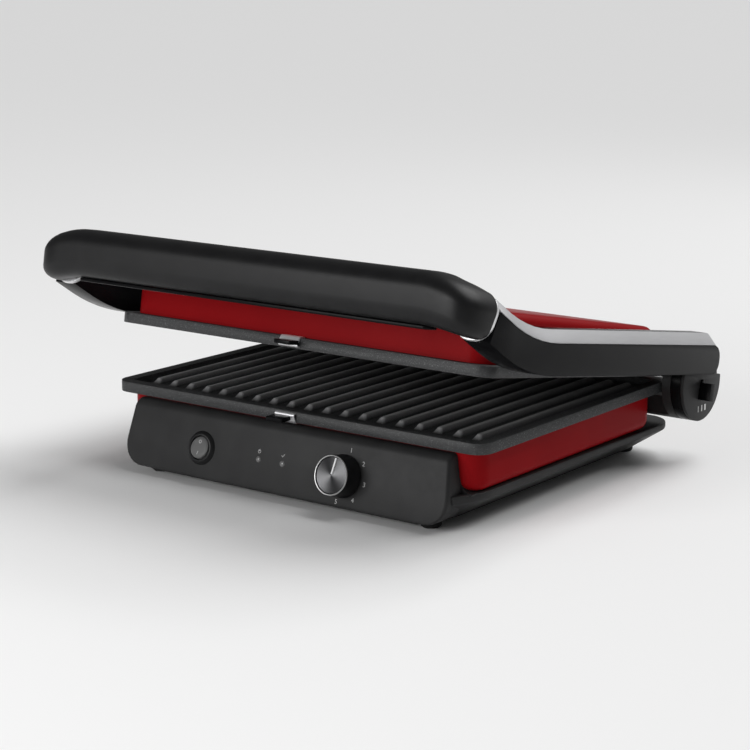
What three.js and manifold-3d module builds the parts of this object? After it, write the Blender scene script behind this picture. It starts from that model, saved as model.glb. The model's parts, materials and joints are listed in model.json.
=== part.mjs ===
// Electric contact grill for the table: two ribbed cast plates in painted housings, the upper one
// carried between two arms that end in a thick bar grip. Millimetres, +X to the right, +Z up,
// the control panel faces -Y. The lid stands a little open; its pieces are drawn closed and
// then turned about the hinge axis.
import * as THREE from "three";
import { mergeVertices } from "three/addons/utils/BufferGeometryUtils.js";
import Module from "manifold-3d";

const wasm = await Module();
wasm.setup();

// ---- Driving dimensions ------------------------------------------------------------------

const gap = 0.3; // left between pieces that touch
const runGap = 0.5; // left between pieces that move past each other
const wall = 2.4; // moulded plastic
const sheet = 1.4; // bent or drawn sheet metal

const plateWidth = 330;
const plateDepth = 250;
const plateHeight = 7.6;
const plateCorner = 12;
const rimWidth = 9;
const channelDepth = 4.2;
const ribPitch = 16.05;
const ribTop = 3.6;
const ribFoot = 8.2;
const ribSetback = 22.5; // from the plate's front and back edges to the ribs' ends

const housingInset = 8; // from the plate's side edges to the painted housing
const housingFront = 6; // from the plate's front edge to the housing
const housingCorner = 15;
const housingRoll = 7; // rolled edge away from the plate
const lowerHousingHeight = 28.6;
const upperHousingFront = 36; // height of the upper housing at its front and at its back
const upperHousingBack = 27;

const footHeight = 4.2;
const footRadius = 7.2;
const footInset = 9; // from the underside's edge to the feet's centres
const frontFootY = 3;
const rearFootInset = 20;
const tubHeight = 21.8; // from the base's underside to the deck the housing stands on
const sillInset = 9; // from the plate's side edges to the base's sides
const sillSlope = 25; // how far the sides fall away inwards under the sill
const baseBehind = 16; // base's rear face behind the hinge
const baseCorner = 22;

const panelLean = 15; // degrees the control panel leans back
const panelCrest = -2.87; // the panel's front face meets its top here
const panelInset = 18; // from the plate's side edges to the panel's foot
const panelTaper = 6; // how much narrower each side is at the top
const panelItemRise = 22.8; // centres of knob, lamps and switch above the base's underside
const knobX = 58;
const knobRadius = 15;
const knobHeight = 15;
const shaftRadius = 3;
const switchX = -71;
const bezelRadius = 10.2;
const bezelProud = 2.4;
const rockerRadius = 8;
const rockerThick = 5;
const rockerTilt = 10;
const lensXs = [-17.8, 3.7];
const lensRadius = 2.2;

const hingeBehind = 12; // hinge axis behind the plate's back edge
const hingeDrop = 2; // hinge axis below the cooking face
const barrelRadius = 29;
const barrelClear = 2.4; // between the plates' side edges and the fixed barrel
const barrelWidth = 7;
const knuckleWidth = 7.6;
const capWidth = 2.6;
const pinRadius = 6;
const restOpening = 9.6; // degrees the lid stands open
const plateGap = 0.5; // between the two plates when the lid is shut

const armReach = 26; // arm's outer face beyond the plates' side edges
const armWidth = 20;
const armCentre = 20; // arm's centre line above the cooking face, lid shut
const armHalf = 15.2;
const armBehind = 13; // rear end of the arms behind the hinge axis
const armCorner = 12;
const bendY = 10; // where the arm's two straight stretches would meet
const bendAngle = 24;
const bendRadius = 150;
const ringY = -35;
const ringThick = 3;
const trimDrop = 8.5;
const trimIn = 8;
const gripY = -50;
const gripRise = 50; // grip's centre above the cooking face, lid shut
const gripHeight = 34.4;
const gripRound = 12;
const gripSweep = 34; // from the arm's outer face to where the grip's straight part ends
const gripDip = 6; // how far the grip's ends fall towards the arms
const ringWidth = 28;

const clipWidth = 17;
const clipHook = 3;
const clipSheet = 1.2;
const tabWidth = 15;
const tabLength = 10;
const tabThick = 3.2;

const leverHeight = 13;
const leverThick = 6.4;
const leverProud = 9.5;
const selectorStep = 14; // degrees from one height mark to the next

const elementRadius = 3.2;
const studRadius = 3;
const studY = 62;
const floatRange = 3;

// ---- Derived places ----------------------------------------------------------------------

const rad = THREE.MathUtils.degToRad;
const plateHalf = plateWidth / 2;
const plateMidY = plateDepth / 2;
const housingHalf = plateHalf - housingInset;
const housingDepth = plateDepth - housingFront - housingInset;
const housingMidY = housingFront + housingDepth / 2;
const housingBack = housingFront + housingDepth;
const baseBottom = footHeight;
const deckLevel = baseBottom + tubHeight;
const lowerHousingFloor = deckLevel + gap;
const plateBottom = lowerHousingFloor + lowerHousingHeight + gap;
const plateLevel = plateBottom + plateHeight; // cooking face above the table
const upperPlateFace = plateLevel + plateGap;
const upperPlateTop = upperPlateFace + plateHeight;
const upperHousingFloor = upperPlateTop + gap;
const hingeY = plateDepth + hingeBehind;
const hingeLevel = plateLevel - hingeDrop;
const sillHalfWidth = plateHalf - sillInset;
const bottomHalfWidth = sillHalfWidth - sillSlope; // flat underside of the base
const baseRear = hingeY + baseBehind;
const footX = bottomHalfWidth - footInset;
const rearFootY = baseRear - rearFootInset;
const coverThick = 2;
const panelTop = plateBottom - gap - clipSheet - runGap; // just under the clip's foot
const leanTan = Math.tan(rad(panelLean));
const panelFoot = panelCrest - (panelTop - baseBottom) * leanTan; // front edge of its foot
const panelFootHalf = plateHalf - panelInset;
const panelTopHalf = panelFootHalf - panelTaper;
const panelItemLevel = baseBottom + panelItemRise;
const panelY = (level) => panelFoot + (level - baseBottom) * leanTan;
const barrelInner = plateHalf + barrelClear;
const knuckleInner = barrelInner + barrelWidth + runGap;
const capInner = knuckleInner + knuckleWidth + gap;
const capOuter = capInner + capWidth;
const armOuter = plateHalf + armReach;
const armInner = armOuter - armWidth;
const armEnd = hingeY + armBehind;
const armLevel = plateLevel + armCentre;
const slope = Math.tan(rad(bendAngle));
const ringLevel = armLevel + (bendY - ringY) * slope;
const gripLevel = plateLevel + gripRise;
const gripCornerX = armOuter - gripSweep;

// ---- Materials ---------------------------------------------------------------------------

const finish = (color, roughness, metalness) =>
  new THREE.MeshStandardMaterial({ color, roughness, metalness });
const mattBlack = finish(0x2e2e2e, 0.6, 0);
const satinBlack = finish(0x1d1d1d, 0.4, 0);
const glossBlack = finish(0x101010, 0.18, 0);
const redPaint = finish(0x8a1218, 0.3, 0.1);
const castPlate = finish(0x3b3b3b, 0.55, 0.4);
const satinSteel = finish(0xb4b4b4, 0.35, 1);
const chrome = finish(0xe6e6e6, 0.1, 1);
const spunMetal = finish(0x3a3a3a, 0.3, 1);
const greyPlastic = finish(0x666666, 0.45, 0);
const lensGrey = finish(0x707070, 0.2, 0);
const rubber = finish(0x161616, 0.85, 0);
const aluminium = finish(0xb9bcc0, 0.4, 1);
const whiteInlay = finish(0xf2f2f2, 0.5, 0);
const creamPlastic = finish(0xd8d2c0, 0.5, 0);

// ---- Geometry helpers --------------------------------------------------------------------

const joined = (geometry) => {
  const bare = geometry.clone();
  bare.deleteAttribute("normal");
  bare.deleteAttribute("uv");
  return mergeVertices(bare, 1e-3);
};

function toSolid(geometry) {
  const merged = joined(geometry);
  const vertProperties = new Float32Array(merged.attributes.position.array);
  const triVerts = new Uint32Array(merged.index.array);
  return new wasm.Manifold(new wasm.Mesh({ numProp: 3, vertProperties, triVerts }));
}

function toGeometry(solid) {
  const mesh = solid.getMesh();
  const geometry = new THREE.BufferGeometry();
  geometry.setAttribute("position", new THREE.BufferAttribute(mesh.vertProperties, mesh.numProp));
  geometry.setIndex(new THREE.BufferAttribute(mesh.triVerts, 1));
  return geometry;
}

const join = (first, ...others) =>
  toGeometry(others.reduce((solid, other) => solid.add(toSolid(other)), toSolid(first)));
const cut = (first, ...others) =>
  toGeometry(others.reduce((solid, other) => solid.subtract(toSolid(other)), toSolid(first)));
const keep = (first, second) => toGeometry(toSolid(first).intersect(toSolid(second)));

// A box from its lowest to its highest corner.
function block(low, high) {
  const size = high.map((value, i) => value - low[i]);
  const middle = high.map((value, i) => (value + low[i]) / 2);
  return new THREE.BoxGeometry(...size).translate(...middle);
}

function roundedRect(width, depth, corner) {
  const [x, y] = [width / 2, depth / 2];
  const shape = new THREE.Shape();
  shape.moveTo(corner - x, -y);
  shape.lineTo(x - corner, -y);
  shape.absarc(x - corner, corner - y, corner, -Math.PI / 2, 0);
  shape.lineTo(x, y - corner);
  shape.absarc(x - corner, y - corner, corner, 0, Math.PI / 2);
  shape.lineTo(corner - x, y);
  shape.absarc(corner - x, y - corner, corner, Math.PI / 2, Math.PI);
  shape.lineTo(-x, corner - y);
  shape.absarc(corner - x, corner - y, corner, Math.PI, 1.5 * Math.PI);
  return shape;
}

// Extrudes a shape upwards from the level given.
const slab = (shape, height, level = 0, curveSegments = 4) =>
  new THREE.ExtrudeGeometry(shape, { depth: height, bevelEnabled: false, curveSegments }).translate(
    0, 0, level);

// Extrudes a (y, z) outline along X, from one x to another.
function alongX(shape, from, to, curveSegments = 8) {
  const options = { depth: to - from, bevelEnabled: false, curveSegments };
  const turned = new THREE.Matrix4().set(0, 0, 1, from, 1, 0, 0, 0, 0, 1, 0, 0, 0, 0, 0, 1);
  return new THREE.ExtrudeGeometry(shape, options).applyMatrix4(turned);
}

// A round bar along X about a (y, z) centre.
const barX = (radius, from, to, y, z, segments = 32) =>
  new THREE.CylinderGeometry(radius, radius, to - from, segments)
    .rotateZ(Math.PI / 2).translate((from + to) / 2, y, z);

// A round bar along Z.
const post = (radius, low, high, x, y, segments = 14) =>
  new THREE.CylinderGeometry(radius, radius, high - low, segments)
    .rotateX(Math.PI / 2).translate(x, y, (low + high) / 2);

// A turned piece about Z from its (radius, height) outline.
const turned = (outline, segments = 24) =>
  new THREE.LatheGeometry(outline.map(([r, h]) => new THREE.Vector2(r, h)), segments)
    .rotateX(Math.PI / 2);

function mirrored(geometry) {
  const flipped = joined(geometry).scale(-1, 1, 1);
  const index = flipped.index.array;
  for (let i = 0; i < index.length; i += 3) {
    [index[i + 1], index[i + 2]] = [index[i + 2], index[i + 1]];
  }
  return flipped;
}

// A rounded block whose foot is narrower or wider than its top.
function tapered(width, depth, corner, height, footWidth, footDepth) {
  const geometry = slab(roundedRect(width, depth, corner), height);
  const position = geometry.attributes.position;
  for (let i = 0; i < position.count; i += 1) {
    if (position.getZ(i) > height / 2) continue;
    position.setX(i, position.getX(i) * footWidth / width);
    position.setY(i, position.getY(i) * footDepth / depth);
  }
  return geometry;
}

// ---- Scene graph -------------------------------------------------------------------------

const grill = new THREE.Group();
const base = new THREE.Group();
const panel = new THREE.Group();
const lid = new THREE.Group();
const lidDrawn = new THREE.Group();
const selector = new THREE.Group();
panel.position.set(0, panelY(panelItemLevel), panelItemLevel);
panel.rotation.x = rad(90 - panelLean);
lid.position.set(0, hingeY, hingeLevel);
lid.rotation.x = -rad(restOpening);
lidDrawn.position.set(0, -hingeY, -hingeLevel);
selector.position.set(0, hingeY, hingeLevel);
selector.rotation.x = rad(restOpening - selectorStep);
grill.add(base, panel, lid);
lid.add(lidDrawn);
lidDrawn.add(selector);

function piece(name, geometry, material, parent = base) {
  const mesh = new THREE.Mesh(geometry, material);
  mesh.name = name;
  parent.add(mesh);
  return mesh;
}

function pair(name, geometry, material, parent = base) {
  piece(`${name}_right`, geometry, material, parent);
  piece(`${name}_left`, mirrored(geometry), material, parent);
}

// ---- Grill plates ------------------------------------------------------------------------

// Drawn with the cooking face up at z = 0 and the front edge at y = 0.
function grillPlate() {
  const body = slab(roundedRect(plateWidth, plateDepth, plateCorner), plateHeight, -plateHeight);
  const pocketWidth = plateWidth - 2 * rimWidth;
  const pocketDepth = plateDepth - 2 * rimWidth;
  const slopeIn = 3;
  const pocket = tapered(pocketWidth, pocketDepth, plateCorner - slopeIn, channelDepth + 1,
    pocketWidth - 2 * slopeIn, pocketDepth - 2 * slopeIn).translate(0, 0, -channelDepth);
  const ribLength = plateDepth - 2 * ribSetback;
  const ribCount = 1 + Math.floor((pocketWidth - 2 * slopeIn - ribFoot) / ribPitch);
  const ribHeight = channelDepth - runGap;
  const ribs = Array.from({ length: ribCount }, (_, i) => {
    const rib = new THREE.BoxGeometry(ribFoot, ribLength, ribHeight + 1);
    const position = rib.attributes.position;
    for (let k = 0; k < position.count; k += 1) {
      if (position.getZ(k) < 0) continue;
      position.setX(k, position.getX(k) * ribTop / ribFoot);
      position.setY(k, position.getY(k) * (1 - 2 * ribHeight / ribLength));
    }
    const x = (i - (ribCount - 1) / 2) * ribPitch;
    return rib.translate(x, 0, (ribHeight + 1) / 2 - 1 - channelDepth);
  });
  const notch = block([-clipWidth / 2 - runGap, -plateDepth / 2 - 1, -clipSheet - 2 * gap],
    [clipWidth / 2 + runGap, -plateDepth / 2 + clipHook + runGap, 1]);
  return join(cut(body, pocket, notch), ...ribs).translate(0, plateMidY, 0);
}

const plateShape = grillPlate();
piece("lower_grill_plate", plateShape.clone().translate(0, 0, plateLevel), castPlate);
const upperPlateShape = plateShape.clone().translate(0, -plateMidY, 0).rotateX(Math.PI)
  .translate(0, plateMidY, 0);

// The turned plate has its clip notch at the back, so it is spun to bring the notch forward.
const upperPlateTurned = upperPlateShape.translate(0, -plateMidY, 0).rotateZ(Math.PI)
  .translate(0, plateMidY, upperPlateFace);
piece("upper_grill_plate", upperPlateTurned, castPlate, lidDrawn);

// ---- Painted housings --------------------------------------------------------------------

// An open tray with a rolled lower edge: open side up at z = height, floor at z = 0.
function tray(height) {
  const width = 2 * housingHalf;
  const shrink = 1.4 * housingRoll;
  const rolled = tapered(width, housingDepth, housingCorner, housingRoll, width - shrink,
    housingDepth - shrink);
  const sides = slab(roundedRect(width, housingDepth, housingCorner), height - housingRoll,
    housingRoll);
  const innerCorner = housingCorner - sheet;
  const innerRolled = tapered(width - 2 * sheet, housingDepth - 2 * sheet, innerCorner,
    housingRoll - sheet, width - shrink - 2 * sheet, housingDepth - shrink - 2 * sheet)
    .translate(0, 0, sheet);
  const innerSides = slab(roundedRect(width - 2 * sheet, housingDepth - 2 * sheet, innerCorner),
    height - housingRoll + 1, housingRoll);
  return cut(join(sides, rolled), join(innerSides, innerRolled)).translate(0, housingMidY, 0);
}

const wireHoleRadius = 6;
const lowerTray = tray(lowerHousingHeight).translate(0, 0, lowerHousingFloor);
const wireHole = post(wireHoleRadius, lowerHousingFloor - 1, lowerHousingFloor + 3, 0, 40);
piece("lower_red_housing", cut(lowerTray, wireHole), redPaint);

// The upper housing is the same tray upside down, its top falling towards the back.
function upperHousing() {
  const height = upperHousingFront;
  const geometry = tray(height).translate(0, -housingMidY, 0).rotateY(Math.PI)
    .translate(0, housingMidY, upperHousingFloor + height);
  const position = geometry.attributes.position;
  const middle = upperHousingFloor + height / 2;
  for (let i = 0; i < position.count; i += 1) {
    if (position.getZ(i) < middle) continue;
    const share = (position.getY(i) - housingFront) / housingDepth;
    position.setZ(i, position.getZ(i) - share * (upperHousingFront - upperHousingBack));
  }
  return geometry;
}

// An ear behind each end of the upper housing hangs it on the hinge pin, so that it can float.
const earWidth = 8;
const earOuter = housingHalf - housingCorner;
const earInner = earOuter - earWidth;
const earRadius = pinRadius + 3;
const earClear = 2; // between the ear and the plate's back edge

function ear() {
  const low = upperPlateTop - hingeLevel + earClear;
  const high = low + earWidth;
  const back = housingBack - hingeY - sheet / 2;
  const knee = plateDepth - hingeY + 1.5;
  const outline = new THREE.Shape();
  outline.moveTo(-3, -2);
  outline.lineTo(3, 2);
  outline.lineTo(knee + 5, high - 2);
  outline.lineTo(knee + 2, high);
  outline.lineTo(back, high);
  outline.lineTo(back, low);
  outline.lineTo(knee, low);
  const link = alongX(outline, earInner, earOuter).translate(0, hingeY, hingeLevel);
  const disc = barX(earRadius, earInner, earOuter, hingeY, hingeLevel, 20);
  const bore = barX(pinRadius + gap, earInner - 1, earOuter + 1, hingeY, hingeLevel, 20);
  return cut(join(disc, link), bore);
}

// A stud on each side of the upper housing runs in a slot in the arm and limits the float.
const studReach = 5;
const studLevel = armLevel - 8;
const stud = barX(studRadius, housingHalf - sheet / 2, armInner + studReach - 1, studY, studLevel, 16);
const upperTray = join(upperHousing(), ear(), mirrored(ear()), stud, mirrored(stud));
piece("upper_red_housing", upperTray, redPaint, lidDrawn);

// ---- Heating elements and reflectors -----------------------------------------------------

const elementClear = 2;
const elementInset = 26;
const elementPitch = 42;
const elementLevel = elementClear + elementRadius; // centre, away from the plate's back face
const reflectorThick = 0.8;
const reflectorInset = 8;

// A tubular heater bent into four long loops; z = 0 is its centre plane.
function heater() {
  const [x, low, high] = [housingHalf - elementInset, 45, housingBack - 36];
  const points = [];
  const rows = Math.floor((high - low) / elementPitch);
  for (let i = 0; i <= rows; i += 1) {
    const side = i % 2 ? 1 : -1;
    const y = low + (i * (high - low)) / rows;
    points.push([-side * x, y], [side * x, y]);
  }
  const path = new THREE.CurvePath();
  const bend = (high - low) / rows / 2;
  for (let i = 0; i < points.length - 1; i += 1) {
    const [from, to] = [points[i], points[i + 1]];
    const level = from[1] === to[1];
    const side = Math.sign(from[0]);
    if (level) {
      const reach = Math.sign(to[0]) * bend;
      path.add(new THREE.LineCurve3(new THREE.Vector3(from[0] + reach, from[1], 0),
        new THREE.Vector3(to[0] - reach, to[1], 0)));
      continue;
    }
    const inner = from[0] - side * bend;
    const outer = from[0] + side * bend * 0.32;
    path.add(new THREE.CubicBezierCurve3(new THREE.Vector3(inner, from[1], 0),
      new THREE.Vector3(outer, from[1], 0), new THREE.Vector3(outer, to[1], 0),
      new THREE.Vector3(inner, to[1], 0)));
  }
  const section = new THREE.Shape().absarc(0, 0, elementRadius, 0, 2 * Math.PI);
  return new THREE.ExtrudeGeometry(section, { extrudePath: path, steps: 44, curveSegments: 3 });
}

// A shallow pan of bright sheet that throws the heat at the plate; open side up.
function reflector() {
  const width = 2 * (housingHalf - reflectorInset);
  const depth = housingDepth - 2 * reflectorInset;
  const height = 6;
  const pan = tapered(width, depth, housingCorner / 2, height, width - height, depth - height);
  const well = tapered(width - 2 * reflectorThick, depth - 2 * reflectorThick, housingCorner / 2,
    height, width - height - 2 * reflectorThick, depth - height - 2 * reflectorThick)
    .translate(0, 0, reflectorThick);
  const feed = post(wireHoleRadius, -1, 2, 0, 40 - housingMidY);
  return cut(pan, well, feed).translate(0, housingMidY, 0);
}

const heaterShape = heater();
const reflectorShape = reflector();
const panLevel = elementLevel + elementRadius + 1 + reflectorThick;
const lowerHeater = heaterShape.clone().translate(0, 0, plateBottom - elementLevel);
const lowerReflector = reflectorShape.clone().translate(0, 0, plateBottom - panLevel - 1);
const upperHeater = heaterShape.clone().translate(0, 0, upperPlateTop + elementLevel);
const upperReflector = reflectorShape.clone().translate(0, -housingMidY, 0).rotateX(Math.PI)
  .translate(0, housingMidY, upperPlateTop + panLevel + 1);
piece("lower_heating_element", lowerHeater, satinSteel);
piece("lower_reflector", lowerReflector, aluminium);
piece("upper_heating_element", upperHeater, satinSteel, lidDrawn);
piece("upper_reflector", upperReflector, aluminium, lidDrawn);

// ---- Plate release clips -----------------------------------------------------------------

// A bent spring clip hooked over the plate's front rim; cooking face at z = 0.
function clip() {
  const foot = -plateHeight - gap - clipSheet;
  const front = -gap - clipSheet;
  const outline = new THREE.Shape();
  outline.moveTo(front, foot);
  outline.lineTo(housingFront - gap, foot);
  outline.lineTo(housingFront - gap, foot + clipSheet);
  outline.lineTo(-gap, foot + clipSheet);
  outline.lineTo(-gap, -clipSheet - gap);
  outline.lineTo(clipHook, -clipSheet - gap);
  outline.lineTo(clipHook, -gap);
  outline.lineTo(front, -gap);
  return alongX(outline, -clipWidth / 2, clipWidth / 2);
}

function clipTab() {
  const outline = roundedRect(tabWidth, tabLength, 1.6);
  const front = -2 * gap - clipSheet;
  return slab(outline, tabThick, -(plateHeight + tabThick) / 2, 3)
    .translate(0, front - tabLength / 2, 0);
}

const clipShape = clip();
const tabShape = clipTab();
const turnOver = (geometry) => geometry.clone().rotateY(Math.PI).translate(0, 0, upperPlateFace);
piece("lower_release_clip", clipShape.clone().translate(0, 0, plateLevel), chrome);
piece("lower_release_tab", tabShape.clone().translate(0, 0, plateLevel), glossBlack);
piece("upper_release_clip", turnOver(clipShape), chrome, lidDrawn);
piece("upper_release_tab", turnOver(tabShape), glossBlack, lidDrawn);

// ---- Base --------------------------------------------------------------------------------

const sillDepth = baseRear - housingFront + 6;
const baseMidY = baseRear - sillDepth / 2;
const rearTuck = 9; // how far the underside stops short of the base's ends
const towerHalf = plateHalf - 68;
const towerFront = housingBack + 4;
const towerTop = hingeLevel - earRadius - 1.5;
const compartmentBack = housingFront - gap;

// The tub under the housings, its sides falling away under the sill.
function tub(inset, low, high) {
  const width = 2 * (sillHalfWidth - inset);
  const depth = sillDepth - 2 * inset;
  return tapered(width, depth, baseCorner - inset, high - low, 2 * (bottomHalfWidth - inset),
    depth - 2 * rearTuck).translate(0, baseMidY, low);
}

// The raised control panel, inset on every face by the wall given.
const crestRound = 6;
function panelBlock(inset, low) {
  const top = panelTop - inset;
  const back = compartmentBack - inset;
  const round = crestRound - inset;
  const front = (level) => panelY(level) + inset / Math.cos(rad(panelLean));
  const outline = new THREE.Shape();
  outline.moveTo(front(low), low);
  outline.lineTo(back, low);
  outline.lineTo(back, top);
  outline.lineTo(front(top) + round, top);
  outline.quadraticCurveTo(front(top), top, front(top - round), top - round);
  const geometry = alongX(outline, inset - panelFootHalf, panelFootHalf - inset, 4);
  const position = geometry.attributes.position;
  for (let i = 0; i < position.count; i += 1) {
    const share = (position.getZ(i) - baseBottom) / (panelTop - baseBottom);
    const narrow = (share * (panelFootHalf - panelTopHalf)) / panelFootHalf;
    position.setX(i, position.getX(i) * (1 - narrow));
  }
  return geometry;
}

const footLobe = 20; // radius of the panel's lower corners, seen from the front
function panelOutlineCut() {
  const shape = roundedRect(2 * panelFootHalf, 2 * (panelTop - baseBottom), footLobe);
  return alongY(shape, panelFoot - 1, housingFront + 40).translate(0, 0, panelTop);
}

// Extrudes an (x, z) outline along Y, from one y to another.
function alongY(shape, from, to) {
  const options = { depth: to - from, bevelEnabled: false, curveSegments: 4 };
  const geometry = new THREE.ExtrudeGeometry(shape, options);
  return geometry.rotateX(Math.PI / 2).translate(0, to, 0);
}

// A cutter through the sloping panel, given in the panel's own plane.
const throughPanel = (radius, x) =>
  new THREE.CylinderGeometry(radius, radius, 4 * wall, 16).rotateX(Math.PI / 2)
    .translate(x, 0, 0).rotateX(panel.rotation.x)
    .translate(0, panel.position.y, panel.position.z);

const feetPlaces = [-1, 1].flatMap((side) => [frontFootY, rearFootY].map((y) => [side * footX, y]));
const screwX = footX - 10;
const screwYs = [40, hingeY - 37];
const screwPlaces = [-1, 1].flatMap((side) => screwYs.map((y) => [side * screwX, y]));
const stemRadius = 3;
const screwShank = 1.5;
const screwHead = 3;
const bossRadius = 4.5;
const glandRadius = 6;
const glandLevel = baseBottom + tubHeight / 2 - 0.1;
const coverHalf = bottomHalfWidth - 3.5;
const coverFront = panelFoot + 5;
const coverBack = baseRear - rearTuck - 4;

const coverOutline = (spare) => roundedRect(2 * (coverHalf + spare),
  coverBack - coverFront + 2 * spare, baseCorner / 2);
const coverMidY = (coverFront + coverBack) / 2;

function baseShell() {
  const tower = block([-towerHalf, towerFront, deckLevel - 4], [towerHalf, hingeY + 9, towerTop]);
  const outerPanel = keep(panelBlock(0, baseBottom), panelOutlineCut());
  const bridge = block([-coverHalf, 0, baseBottom], [coverHalf, 14, baseBottom + 10]);
  const outer = join(tub(0, baseBottom, deckLevel), outerPanel, tower, bridge);
  const innerTower = block([wall - towerHalf, towerFront + wall, deckLevel - 6],
    [towerHalf - wall, hingeY + 9 - wall, towerTop - wall]);
  const innerTub = tub(wall, baseBottom - 1, deckLevel - wall);
  const innerPanel = keep(panelBlock(wall, baseBottom - 1), panelOutlineCut().scale(0.98, 1, 1));
  const innerBridge = block([wall - coverHalf, -9, 0], [coverHalf - wall, 20, baseBottom + 8]);
  const recess = slab(coverOutline(gap), coverThick + gap + 1, baseBottom - 1)
    .translate(0, coverMidY, 0);
  const inner = join(innerTub, innerPanel, innerTower, innerBridge, recess);
  const bosses = screwPlaces.map(([x, y]) =>
    post(bossRadius, baseBottom + coverThick + gap, deckLevel - 1, x, y));
  const bores = screwPlaces.map(([x, y]) => post(screwShank + gap, 0, deckLevel - 6, x, y, 12));
  const openings = lensXs.map((x) => throughPanel(lensRadius + gap, x));
  openings.push(throughPanel(shaftRadius + runGap, knobX));
  openings.push(throughPanel(bezelRadius - 1, switchX));
  const cordHole = new THREE.CylinderGeometry(glandRadius, glandRadius, 24, 18)
    .translate(0, baseRear - 6, glandLevel);
  const shell = join(cut(outer, inner), ...bosses);
  return cut(shell, ...bores, ...openings, cordHole);
}
piece("base_shell", baseShell(), mattBlack);

function bottomCover() {
  const plate = slab(coverOutline(0), coverThick, baseBottom).translate(0, coverMidY, 0);
  const stems = feetPlaces.map(([x, y]) => post(stemRadius + gap, 0, 20, x, y));
  const shanks = screwPlaces.map(([x, y]) => post(screwShank + gap, 0, 20, x, y, 12));
  return cut(plate, ...stems, ...shanks);
}
piece("base_bottom_cover", bottomCover(), mattBlack);

// A rubber foot pushed into the cover by its stem.
const footShape = turned([[0, 0], [footRadius - 1.2, 0], [footRadius, 1.4],
  [footRadius, footHeight - gap], [stemRadius, footHeight - gap],
  [stemRadius, footHeight + coverThick + 1], [0, footHeight + coverThick + 1]], 16);
feetPlaces.forEach(([x, y], i) =>
  piece(`foot_${i + 1}`, footShape.clone().translate(x, y, 0), rubber));

const screwShape = turned([[0, -1.5], [screwHead, -1.5], [screwHead, -gap], [screwShank, -gap],
  [screwShank, 12], [0, 12]], 10);
screwPlaces.forEach(([x, y], i) =>
  piece(`cover_screw_${i + 1}`, screwShape.clone().translate(x, y, baseBottom), satinSteel));

// The bush where the mains lead enters; it grips the rear wall from both sides.
function cordGland() {
  const bush = turned([[3.6, -7], [glandRadius - gap, -7], [glandRadius - gap, 4],
    [glandRadius + 1.4, 4], [glandRadius + 1.4, 7], [3.6, 7], [3.6, -7]], 18);
  return bush.rotateX(-Math.PI / 2).translate(0, baseRear - 1, glandLevel);
}
piece("cord_gland", cordGland(), rubber);

// ---- Inside the base ---------------------------------------------------------------------

const innerFloor = baseBottom + coverThick + gap;
const terminalBack = hingeY - 43;
piece("terminal_block", block([-22, terminalBack - 14, innerFloor],
  [22, terminalBack, innerFloor + 12]), creamPlastic);
piece("thermal_fuse", barX(2.6, -9, 9, 120, lowerHousingFloor + sheet + gap + 2.6, 16), aluminium);

// ---- Control panel -----------------------------------------------------------------------

// Pieces of the panel are drawn in its plane: x to the right, y up the slope, z outwards.
const panelPiece = (name, geometry, material) => piece(name, geometry, material, panel);
const behind = -wall - gap;
const thermostatDepth = 6;
panelPiece("thermostat_body", block([knobX - 12, -10, behind - thermostatDepth],
  [knobX + 12, 10, behind]), creamPlastic);
panelPiece("thermostat_shaft", post(shaftRadius, behind + gap, knobHeight - 4, knobX, 0), satinSteel);

const faceDepth = 1.4;
function knobBody() {
  const rim = knobRadius - 1.2;
  const body = turned([[shaftRadius + gap, runGap], [knobRadius, runGap], [knobRadius, 3],
    [rim, 4], [rim, knobHeight], [rim - 1, knobHeight], [rim - 1, knobHeight - faceDepth],
    [0, knobHeight - faceDepth], [0, knobHeight - 3.6], [shaftRadius + gap, knobHeight - 3.6],
    [shaftRadius + gap, runGap]], 28);
  return body.translate(knobX, 0, 0);
}
const faceRadius = knobRadius - 2.2 - gap;
const pointerWidth = 1.3;
const faceDisc = post(faceRadius, knobHeight - faceDepth + gap, knobHeight - 0.2, knobX, 0, 28);
const groove = block([-pointerWidth / 2 - 0.1, 2, -0.6], [pointerWidth / 2 + 0.1, faceRadius + 1, 1]);
const pointer = block([-pointerWidth / 2, 2.2, -0.4], [pointerWidth / 2, faceRadius - 0.6, 0]);
const pointerAngle = rad(-10); // where the pointer stands for the first setting
const onFace = (geometry) => geometry.rotateZ(pointerAngle).translate(knobX, 0, knobHeight - 0.2);
panelPiece("knob_body", knobBody(), satinBlack);
panelPiece("knob_face", cut(faceDisc, onFace(groove)), spunMetal);
panelPiece("knob_pointer", onFace(pointer), whiteInlay);

const bezelBore = rockerRadius + runGap;
const bezel = turned([[bezelBore, -wall - 1], [bezelRadius - 1 - gap, -wall - 1],
  [bezelRadius - 1 - gap, gap], [bezelRadius, gap], [bezelRadius, bezelProud - 0.6],
  [bezelRadius - 0.6, bezelProud], [bezelBore + 0.3, bezelProud], [bezelBore, bezelProud - 0.4],
  [bezelBore, -wall - 1]], 28);
panelPiece("switch_bezel", bezel.translate(switchX, 0, 0), satinBlack);
const switchBack = -wall - 1 - gap;
panelPiece("switch_body", block([switchX - 9, -9, switchBack - 4], [switchX + 9, 9, switchBack]),
  satinBlack);
const rockerSunk = 1.6; // the rocker's middle below the bezel's rim
const rocker = post(rockerRadius, -rockerThick / 2, rockerThick / 2, 0, 0, 28)
  .rotateX(-rad(rockerTilt)).translate(switchX, 0, bezelProud - rockerSunk);
panelPiece("power_rocker", rocker, greyPlastic);

const lens = turned([[0, -wall - 1.2], [lensRadius + 0.8, -wall - 1.2],
  [lensRadius + 0.8, -wall - gap], [lensRadius, -wall - gap], [lensRadius, 0.2],
  [lensRadius * 0.7, 0.7], [0, 0.9]], 12);
["lens_power", "lens_ready"].forEach((name, i) =>
  panelPiece(name, lens.clone().translate(lensXs[i], 0, 0), lensGrey));

// ---- Hinge -------------------------------------------------------------------------------

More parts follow.
